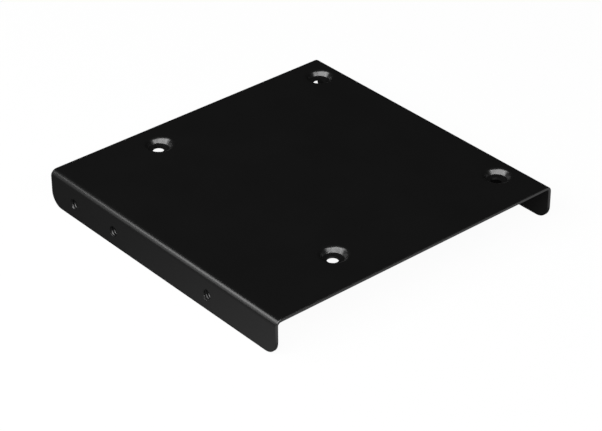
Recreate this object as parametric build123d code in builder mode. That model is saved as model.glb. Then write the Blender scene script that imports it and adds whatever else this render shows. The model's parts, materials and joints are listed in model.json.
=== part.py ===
from build123d import *
from math import cos, radians, tan
import os

# Drive bay adapter bracket: one folded steel sheet that carries a small drive in a wider bay.
# Millimetres. X runs from flange to flange, Y along the flanges, +Z up.
# The origin lies under the middle of the plate, level with the free edges of the flanges.

# Folded sheet
bay_width = 101.6  # outer face of one flange to outer face of the other
plate_length = 99.5  # along the flanges, from the near end to the far end
flange_height = 11.3  # from the free edge of a flange to the plate's outer face
sheet_thickness = 1.0
bend_radius = 0.9  # inside of each fold
corner_radius = 4.4  # free corners of the flanges
edge_break = 0.15  # cut edges of the blank, taken off by deburring

# Drive screws
drive_pitch_x = 61.72
drive_pitch_y = 76.6
drive_row_setback = 14.0  # from the near end to the first row of screw holes
drive_column_inset = 8.0  # from the right flange's outer face to the nearest column of screw holes
screw_hole_diameter = 3.4

# Screw recesses, pressed down from the plate's outer face
recess_shift = 0.4  # from each screw hole to the centre of its recess, towards the right flange
recess_rim_diameter = 8.2  # where the sloping wall would meet the plate's outer face
recess_depth = 1.65
recess_wall_angle = 34.0  # slope of the wall, measured from the screw's axis
recess_rim_round = 1.2
recess_floor_round = 0.45
recess_wall_thinning = 0.2  # sheet lost where the wall is stretched
recess_floor_thinning = 0.35
boss_edge_round = 1.0  # underside of each recess, where the drive seats
recess_margin = 0.3  # flat sheet kept round each recess, up to where it joins the rest

# Bay screws, in tapped collars that are drawn inwards from both flanges
bay_row_setback = 28.5  # from the near end to the first hole
bay_middle_pitch = 41.61  # from the first hole to the middle one
bay_far_pitch = 59.99  # from the first hole to the last one
bay_hole_drop = 6.35  # from the plate's outer face down to the holes
thread_diameter = 3.505  # over the thread's roots, so the wall of the bare hole
thread_length = 2.3  # from the flange's outer face to the tip of the collar
thread_lead_in = 0.05  # width of the countersunk lip
lead_in_angle = 90.0  # across the countersunk lip
collar_wall = 0.75  # at the root of a collar
collar_taper = 6.0  # slope of a collar's outside, measured from its axis

# Screw recess: formed sheet round an axis, before it is pierced, with the plate's outer face at Z = 0
wall_slope = tan(radians(recess_wall_angle))
wall_across = (sheet_thickness - recess_wall_thinning) / cos(radians(recess_wall_angle))
rim_radius = recess_rim_diameter / 2
floor_radius = rim_radius - recess_depth * wall_slope
seat_depth = recess_depth + sheet_thickness - recess_floor_thinning
boss_root_radius = rim_radius + wall_across - sheet_thickness * wall_slope
boss_face_radius = rim_radius + wall_across - seat_depth * wall_slope
rim_reach = rim_radius + recess_rim_round * tan(radians(90 - recess_wall_angle) / 2)
recess_reach = max(rim_reach, boss_root_radius) + recess_margin

with BuildPart() as screw_recess:
    with BuildSketch(Plane.XZ):
        with BuildLine():
            FilletPolyline(
                (0, -recess_depth),
                (floor_radius, -recess_depth),
                (rim_radius, 0),
                (recess_reach, 0),
                (recess_reach, -sheet_thickness),
                (boss_root_radius, -sheet_thickness),
                (boss_face_radius, -seat_depth),
                (0, -seat_depth),
                radius=(0, recess_floor_round, recess_rim_round, 0, 0, 0, boss_edge_round, 0),
                close=True,
            )
        make_face()
    revolve(axis=Axis.Z)

with BuildPart() as bracket:
    # Channel section: the plate and both flanges, folded round the bend radius
    with BuildSketch(Plane.XZ):
        with BuildLine():
            FilletPolyline(
                (-bay_width / 2, 0),
                (-bay_width / 2, flange_height),
                (bay_width / 2, flange_height),
                (bay_width / 2, 0),
                radius=bend_radius + sheet_thickness,
            )
            offset(amount=sheet_thickness, side=Side.RIGHT)
        make_face()
    extrude(amount=plate_length / 2, both=True)

    # Free corners of the flanges, then the cut edges all round the blank
    free_corners = bracket.edges().filter_by(Axis.X).group_by(Axis.Z)[0]
    fillet(free_corners, corner_radius)
    fold_lines = bracket.edges().filter_by(Axis.Y).filter_by_position(Axis.Z, corner_radius, flange_height)
    across_sheet = bracket.edges().filter_by(Axis.X).filter_by(lambda edge: edge.length < 2 * sheet_thickness)
    chamfer(bracket.edges() - fold_lines - across_sheet, edge_break)

    # Drive screws, in a rectangle that lies nearer to the right flange.
    # At each one a disc of flat sheet gives way to a recess, and the screw hole pierces its floor.
    drive_centre = (
        bay_width / 2 - drive_column_inset - drive_pitch_x / 2,
        -plate_length / 2 + drive_row_setback + drive_pitch_y / 2,
    )
    below = (Align.CENTER, Align.CENTER, Align.MAX)
    with Locations(Plane.XY.offset(flange_height)):
        with Locations(drive_centre):
            with GridLocations(drive_pitch_x, drive_pitch_y, 2, 2):
                with Locations((recess_shift, 0)):
                    Cylinder(recess_reach, sheet_thickness, align=below, mode=Mode.SUBTRACT)
                    add(screw_recess.part)
                Hole(screw_hole_diameter / 2)

    # Bay screws, in one row along each flange, with a tapered collar on its inner face round each hole
    thread_radius = thread_diameter / 2
    collar_length = thread_length - sheet_thickness
    collar_root_radius = thread_radius + collar_wall
    collar_tip_radius = collar_root_radius - collar_length * tan(radians(collar_taper))
    first_hole = -plate_length / 2 + bay_row_setback
    bay_row = [(first_hole + pitch, 0) for pitch in (0, bay_middle_pitch, bay_far_pitch)]
    for side in (-1, 1):
        row_start = (side * bay_width / 2, 0, flange_height - bay_hole_drop)
        with Locations(Plane(origin=row_start, x_dir=(0, 1, 0), z_dir=(side, 0, 0))):
            with Locations(bay_row):
                with Locations((0, 0, -sheet_thickness)):
                    Cone(collar_tip_radius, collar_root_radius, collar_length, align=below)
                CounterSinkHole(
                    thread_radius,
                    thread_radius + thread_lead_in,
                    depth=thread_length,
                    counter_sink_angle=lead_in_angle,
                )

bracket.part.label = "bracket"
os.makedirs("parts", exist_ok=True)
export_step(bracket.part, "parts/bracket.step")
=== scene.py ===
# %% [markdown]
# # A drive bay adapter bracket
# The bracket is one steel sheet, folded into a shallow channel and painted black. A small drive hangs
# under its plate on four screws, and six tapped holes in the flanges hold it in a wider bay.
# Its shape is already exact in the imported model, so this lesson loads that model as a fixed frame
# and adds only what Blender does better: the paint, the fine screw threads, the light and the camera.

import json
from math import cos, pi, radians, sin

import bmesh
import bpy
from mathutils import Matrix, Vector


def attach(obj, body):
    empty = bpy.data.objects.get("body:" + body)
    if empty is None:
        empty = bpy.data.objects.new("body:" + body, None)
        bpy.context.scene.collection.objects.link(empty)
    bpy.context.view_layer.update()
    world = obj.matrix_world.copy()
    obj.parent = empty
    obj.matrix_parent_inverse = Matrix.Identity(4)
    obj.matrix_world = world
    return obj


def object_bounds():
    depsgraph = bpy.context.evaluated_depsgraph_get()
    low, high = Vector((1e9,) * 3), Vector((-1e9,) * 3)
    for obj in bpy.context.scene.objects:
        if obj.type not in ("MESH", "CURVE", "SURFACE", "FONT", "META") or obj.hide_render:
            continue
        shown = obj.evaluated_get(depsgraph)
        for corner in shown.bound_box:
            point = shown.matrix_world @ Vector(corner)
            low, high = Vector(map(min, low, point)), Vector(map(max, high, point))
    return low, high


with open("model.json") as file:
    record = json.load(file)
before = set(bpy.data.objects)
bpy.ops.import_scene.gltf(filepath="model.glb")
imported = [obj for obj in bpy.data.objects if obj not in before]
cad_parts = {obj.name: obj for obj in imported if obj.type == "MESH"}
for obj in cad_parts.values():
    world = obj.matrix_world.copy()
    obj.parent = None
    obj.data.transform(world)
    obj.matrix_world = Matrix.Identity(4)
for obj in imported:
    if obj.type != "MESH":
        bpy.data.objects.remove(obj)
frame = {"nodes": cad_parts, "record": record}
cad_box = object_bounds()
bracket = frame["nodes"]["bracket"]
mm = 0.001  # the scene is in metres
print("bracket", [round((high - low) / mm, 2) for low, high in zip(*cad_box)], "mm")

# %% [markdown]
# ## Satin black paint
# Sheet-metal brackets are dipped or sprayed, then baked. The coat is a very dark neutral grey with a
# low sheen, and close up it has a fine grain, like the skin of an orange.
# A picture of paint could be wrapped round the part, but nodes that read the object's own coordinates
# need no unwrapping and run evenly over folds and holes. A fine noise drives the bump, and a broad one
# lets the sheen and the grey drift a little, as a sprayed coat does.

# %% Paint nodes
grain_size = 0.22 * mm
grain_height = 0.02 * mm
grain_detail = 2
grain_strength = 0.05
drift_size = 14 * mm
drift_detail = 3
drift_range = (0.3, 0.7)  # where most of the broad noise lies
paint_greys = (0.006, 0.0066)
paint_roughness = (0.28, 0.3)
paint_ior = 1.8  # dense pigment mirrors more than clear varnish


def link_noise(tree, coordinates, size, detail):
    """Adds a noise texture whose lumps are about as wide as size."""
    noise = tree.nodes.new("ShaderNodeTexNoise")
    noise.inputs["Scale"].default_value = 1 / size
    noise.inputs["Detail"].default_value = detail
    tree.links.new(coordinates.outputs["Object"], noise.inputs["Vector"])
    return noise


def satin_black_paint():
    """Returns the paint of the whole bracket."""
    paint = bpy.data.materials.new("satin_black_paint")
    paint.use_nodes = True
    tree = paint.node_tree
    shader = tree.nodes["Principled BSDF"]
    shader.inputs["IOR"].default_value = paint_ior
    coordinates = tree.nodes.new("ShaderNodeTexCoord")

    drift = link_noise(tree, coordinates, drift_size, drift_detail)
    grey = tree.nodes.new("ShaderNodeValToRGB")
    for stop, position, level in zip(grey.color_ramp.elements, drift_range, paint_greys):
        stop.position = position
        stop.color = (level, level, level, 1)
    tree.links.new(drift.outputs["Fac"], grey.inputs["Fac"])
    tree.links.new(grey.outputs["Color"], shader.inputs["Base Color"])

    sheen = tree.nodes.new("ShaderNodeMapRange")
    sheen.inputs["From Min"].default_value, sheen.inputs["From Max"].default_value = drift_range
    sheen.inputs["To Min"].default_value, sheen.inputs["To Max"].default_value = paint_roughness
    tree.links.new(drift.outputs["Fac"], sheen.inputs["Value"])
    tree.links.new(sheen.outputs["Result"], shader.inputs["Roughness"])

    grain = link_noise(tree, coordinates, grain_size, grain_detail)
    bump = tree.nodes.new("ShaderNodeBump")
    bump.inputs["Strength"].default_value = grain_strength
    bump.inputs["Distance"].default_value = grain_height
    tree.links.new(grain.outputs["Fac"], bump.inputs["Height"])
    tree.links.new(bump.outputs["Normal"], shader.inputs["Normal"])
    return paint


paint = satin_black_paint()
bracket.material_slots[0].material = paint
print("paint on", bracket.name)

# %% [markdown]
# ## The section of a screw thread
# Each bay hole is tapped for a coarse inch screw, with 32 turns to the inch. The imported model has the
# plain hole, because a thread is too fine for it.
# A thread could be faked with bump, but its crests catch the light at the mouth of the hole, so it is
# real here. A small plane stands on its side as the section of the ridge: wide where it sits in the
# wall of the hole, and at the crest narrower and rounded. Only its outline is kept, to be wound up next.

# %% Shape the section
thread_pitch = 25.4 / 32 * mm
thread_start = 0.03 * mm  # just below the flange's outer face
crest_radius = 1.42 * mm
crest_width = thread_pitch / 4
root_width = thread_pitch * 7 / 8
crest_round = 0.1 * mm
crest_segments = 3
root_sink = 0.03 * mm  # how far the ridge is set into the wall of the hole
early_turns = 1.01  # wound before the hole begins; a whole number would put a corner right in the cut

bay_mounts = [m for m in frame["record"]["mounts"] if "bay_screws" in m["name"]]
root_radius = bay_mounts[0]["dims"]["hole_r_mm"] * mm + root_sink
middle_radius = (crest_radius + root_radius) / 2
section_depth = thread_start - early_turns * thread_pitch

bpy.ops.object.select_all(action="DESELECT")
bpy.ops.mesh.primitive_plane_add(
    size=1,
    location=(middle_radius, 0, section_depth),
    rotation=(radians(90), 0, 0),
)
ridge = bpy.context.object
ridge.scale = (root_radius - crest_radius, root_width, 1)
bpy.ops.object.transform_apply(location=True, rotation=True, scale=True)

bpy.ops.object.mode_set(mode="EDIT")
bpy.ops.mesh.select_mode(type="VERT")
section = bmesh.from_edit_mesh(ridge.data)
for corner in section.verts:
    corner.select_set(corner.co.x < middle_radius)
section.select_flush_mode()
bmesh.update_edit_mesh(ridge.data)
bpy.ops.transform.resize(
    value=(1, 1, crest_width / root_width),
    center_override=(crest_radius, 0, section_depth),
)
bpy.ops.mesh.bevel(affect="VERTICES", offset=crest_round, segments=crest_segments)
bpy.ops.mesh.select_all(action="SELECT")
bpy.ops.mesh.delete(type="ONLY_FACE")
bpy.ops.object.mode_set(mode="OBJECT")
print("section", len(ridge.data.edges), "edges,", round((root_radius - crest_radius) / mm, 3), "mm high")

# %% [markdown]
# ## One wound thread
# A tap cuts its thread by turning while it moves in. The Screw modifier does the same to the section,
# for a few more turns than the hole needs.
# Two bisects then trim the coil just inside the flange's outer face and the tip of the collar, and close
# the cuts. Bisect merges whatever lies within a tenth of a millimetre of its plane, which is coarse for
# a thread, so it is given a much finer threshold.

# %% Wind it up and trim it
thread_end = 2.28 * mm  # just short of the collar's tip
turns = 5
steps_per_turn = 48
cut_threshold = 1e-8
sharp_angle = 30  # degrees, above which an edge stays sharp

wind = ridge.modifiers.new("wind", "SCREW")
wind.axis = "Z"
wind.angle = 2 * pi
wind.screw_offset = thread_pitch
wind.iterations = turns
wind.steps = steps_per_turn
wind.render_steps = steps_per_turn
bpy.ops.object.modifier_apply(modifier="wind")

bpy.ops.object.mode_set(mode="EDIT")
for depth, past_start in ((thread_start, True), (thread_end, False)):
    bpy.ops.mesh.select_all(action="SELECT")
    bpy.ops.mesh.bisect(
        plane_co=(0, 0, depth),
        plane_no=(0, 0, 1),
        use_fill=True,
        threshold=cut_threshold,
        clear_inner=past_start,
        clear_outer=not past_start,
    )
bpy.ops.mesh.select_all(action="SELECT")
bpy.ops.mesh.normals_make_consistent(inside=False)
open_edges = sum(edge.is_boundary for edge in bmesh.from_edit_mesh(ridge.data).edges)
bpy.ops.object.mode_set(mode="OBJECT")
bpy.ops.object.shade_smooth_by_angle(angle=radians(sharp_angle))
print("ridge", len(ridge.data.polygons), "faces,", open_edges, "open edges")

# %% [markdown]
# ## Six threads in their holes
# The record in the frame says where the holes are: each mount is a pair of holes, and the two pairs on
# a flange share the first hole. A tap starts at any angle, so each copy is turned a little further.
# Every copy has its own mesh, and its place is applied to that mesh, so all objects stay at the origin.

# %% Place the threads
start_angles = (0, 130, 250)
hole_places = set()
for mount in bay_mounts:
    x, y, z = mount["pos_m"]
    half_pair = mount["dims"]["spacing_x_mm"] / 2 * mm
    for end in (-1, 1):
        hole_places.add((x, round(y + end * half_pair, 6), z))

for number, (x, y, z) in enumerate(sorted(hole_places)):
    side = "left" if x < 0 else "right"
    bpy.ops.object.select_all(action="DESELECT")
    ridge.select_set(True)
    bpy.context.view_layer.objects.active = ridge
    bpy.ops.object.duplicate(linked=False)
    thread = bpy.context.object
    thread.name = f"{side}_thread_{number % len(start_angles) + 1}"
    turned = Matrix.Rotation(radians(start_angles[number % len(start_angles)]), 4, "Z")
    inwards = Matrix.Rotation(radians(90 if side == "left" else -90), 4, "Y")
    thread.matrix_world = Matrix.Translation((x, y, z)) @ inwards @ turned
    bpy.ops.object.transform_apply(location=True, rotation=True, scale=True)
    thread.data.materials.append(paint)
    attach(thread, "root")
    print(thread.name, "at", [round(v / mm, 2) for v in (x, y, z)])

bpy.data.objects.remove(ridge)

# %% [markdown]
# ## Camera
# The photograph was taken with a long lens from in front, to the left and above, so the edges of the
# plate stay nearly parallel. The numbers come from fitting a pinhole camera to the outline.
# Two turns aim the camera, a third one levels it, and it then backs away from the point it looks at.

# %% Aim the camera
view_azimuth = 40.538  # degrees from +Y towards +X
view_elevation = 32.496
view_roll = -0.24
view_distance = 0.61858
look_at = Vector((-12.648 * mm, -15.396 * mm, cad_box[1].z))
lens_length = 134.24  # in millimetres, as Blender counts lenses
sensor_width = 36

bpy.ops.object.camera_add()
camera = bpy.context.object
camera.data.lens = lens_length
camera.data.sensor_width = sensor_width
aim = (
    Matrix.Rotation(radians(-view_azimuth), 4, "Z")
    @ Matrix.Rotation(radians(90 - view_elevation), 4, "X")
    @ Matrix.Rotation(radians(view_roll), 4, "Z")
)
camera.matrix_world = Matrix.Translation(look_at) @ aim @ Matrix.Translation((0, 0, view_distance))
bpy.context.scene.camera = camera
print("camera at", [round(v, 4) for v in camera.matrix_world.translation])

# %% [markdown]
# ## White floor
# The bracket stands on a plain white floor. Lamps alone would have to be very strong to turn a floor
# white, and they would wash out the black paint. So the floor is a grey card with a white glow added
# for the eye and for glass. Together they make white, and where the bracket keeps the lamps off the
# card, its shadow stays.
# Shiny surfaces see the glow as a painted pool of light, brightest at a spot in front of the bracket and
# fading away from it, because a flange that mirrored white all along would no longer look black.

# %% Lay the floor
floor_reach = 6
card_grey = 0.06
floor_glow = 0.95  # what the eye needs on top of the lit card to see white

bpy.ops.object.select_all(action="DESELECT")
bpy.ops.mesh.primitive_plane_add(size=2 * floor_reach)
floor = bpy.context.object
floor.name = "studio_floor"
floor_white = bpy.data.materials.new("studio_white")
floor_white.use_nodes = True
floor.data.materials.append(floor_white)
print("floor", floor.dimensions[:2])

# %% [markdown]
# ## The glow on the floor
# Light Path tells which kind of ray has met the floor, so the glow can differ between the eye and a
# mirror. The pool is painted light, seen only in mirrors: a distance from the bright spot, turned into a
# share from one to nothing, and its square falls off softly, as lamp light does. A strip in front is a
# painted reflection,
# evenly bright: the cut edges at the near end mirror it, and it sets them off from the plate. Math nodes
# join the shares, and a helper links them.

# %% Floor nodes
# painted light: a pool of glow on the floor that only shiny surfaces mirror, brightest at this spot
painted_pool_centre = (-0.08, -0.13, 0)  # in front of the left flange
pool_radius = 0.2  # from the bright spot to where shiny surfaces no longer see the glow
pool_falloff = 2
painted_pool_share = 0.47
# painted reflection: a bright strip of glow on the floor in front, seen only in mirrors, for the cut
# edges at the near end
front_line = (-0.051, -0.056)  # along Y, the stretch over which the strip in front sets in
painted_strip_share = 0.45

tree = floor_white.node_tree
tree.nodes.remove(tree.nodes["Principled BSDF"])


def link_math(operation, first, second):
    """Adds a math node to the floor and returns its result; each input is a socket or a number."""
    math = tree.nodes.new("ShaderNodeMath")
    math.operation = operation
    for socket, value in zip(math.inputs, (first, second)):
        if isinstance(value, bpy.types.NodeSocket):
            tree.links.new(value, socket)
        else:
            socket.default_value = value
    return math.outputs["Value"]


rays = tree.nodes.new("ShaderNodeLightPath")
coordinates = tree.nodes.new("ShaderNodeTexCoord")
away = tree.nodes.new("ShaderNodeVectorMath")
away.operation = "DISTANCE"
away.inputs[1].default_value = painted_pool_centre
tree.links.new(coordinates.outputs["Object"], away.inputs[0])
fade = tree.nodes.new("ShaderNodeMapRange")
fade.inputs["From Min"].default_value, fade.inputs["From Max"].default_value = 0, pool_radius
fade.inputs["To Min"].default_value, fade.inputs["To Max"].default_value = 1, 0
tree.links.new(away.outputs["Value"], fade.inputs["Value"])

# painted pool of light and painted reflection strip, both seen only by glossy rays
pool = link_math("MULTIPLY", link_math("POWER", fade.outputs["Result"], pool_falloff), painted_pool_share)
along = tree.nodes.new("ShaderNodeSeparateXYZ")
tree.links.new(coordinates.outputs["Object"], along.inputs["Vector"])
front = tree.nodes.new("ShaderNodeMapRange")
front.inputs["From Min"].default_value, front.inputs["From Max"].default_value = front_line
front.inputs["To Min"].default_value, front.inputs["To Max"].default_value = 0, painted_strip_share
tree.links.new(along.outputs["Y"], front.inputs["Value"])
bright = link_math("MAXIMUM", pool, front.outputs["Result"])
mirrored = link_math("MULTIPLY", rays.outputs["Is Glossy Ray"], bright)
seen = link_math("MAXIMUM", rays.outputs["Is Camera Ray"], rays.outputs["Is Transmission Ray"])
strength = link_math("MULTIPLY", link_math("MAXIMUM", seen, mirrored), floor_glow)

card = tree.nodes.new("ShaderNodeBsdfDiffuse")
card.inputs["Color"].default_value = (card_grey, card_grey, card_grey, 1)
glow = tree.nodes.new("ShaderNodeEmission")
tree.links.new(strength, glow.inputs["Strength"])
both = tree.nodes.new("ShaderNodeAddShader")
tree.links.new(card.outputs["BSDF"], both.inputs[0])
tree.links.new(glow.outputs["Emission"], both.inputs[1])
tree.links.new(both.outputs["Shader"], tree.nodes["Material Output"].inputs["Surface"])
print("floor has", len(tree.nodes), "nodes")

# %% [markdown]
# ## Soft light
# Black paint shows mostly what it mirrors. The plate mirrors the far side of the studio, so that side
# is left dark, and the plate stays black. A long softbox stands on the camera's side, where the walls of
# the screw recesses catch it, and two small ones carry those highlights on to the right and the left.
# Two more stand close to the left flange. The upper one draws the bright line along the fold, and the
# lower one is dim and lets that line fade down into the flange. Because they are so near, the line also
# fades towards the far end.
# Each softbox is given by the white that its surface shows, so that the level is easy to judge.

# %% Set up the softboxes
target = Vector((0, 0, cad_box[1].z))


def softbox(name, azimuth, elevation, distance, width, height, white):
    """Adds an area lamp that faces the bracket, azimuth degrees from +Y towards +X."""
    a, e = radians(azimuth), radians(elevation)
    place = target + distance * Vector((sin(a) * cos(e), cos(a) * cos(e), sin(e)))
    bpy.ops.object.light_add(type="AREA", location=place)
    lamp = bpy.context.object
    lamp.name = name
    lamp.data.shape = "RECTANGLE"
    lamp.data.size = width
    lamp.data.size_y = height
    lamp.data.energy = white * pi * width * height
    lamp.rotation_euler = (target - place).to_track_quat("-Z", "Y").to_euler()
    lamp.visible_camera = False
    print(name, "at", [round(v, 2) for v in place])


softbox("camera_softbox", azimuth=248, elevation=43, distance=1.2, width=2.0, height=0.58, white=4.6)
softbox("right_softbox", azimuth=174, elevation=35, distance=1.2, width=0.72, height=0.26, white=5.6)
softbox("left_softbox", azimuth=289, elevation=25, distance=1.2, width=0.35, height=0.3, white=2.4)
softbox("fold_softbox", azimuth=314, elevation=42, distance=0.38, width=0.12, height=0.18, white=3.0)
softbox("low_fold_softbox", azimuth=306, elevation=18, distance=0.4, width=0.12, height=0.2, white=0.6)

# %% [markdown]
# ## The room
# A world of even grey stands for the unlit room. It is nearly black, because the plate mirrors it.

# %% Darken the room
room_grey = 0.012

world = bpy.data.worlds.new("studio_room")
world.use_nodes = True
bpy.context.scene.world = world
room = world.node_tree.nodes["Background"]
room.inputs["Color"].default_value = (room_grey, room_grey, room_grey, 1)
room.inputs["Strength"].default_value = 1
print("room grey", room_grey)

# %% [markdown]
# ## Finish
# A colour should render as it is written, so the view transform is Standard.

# %% Set the view transform
bpy.context.scene.view_settings.view_transform = "Standard"
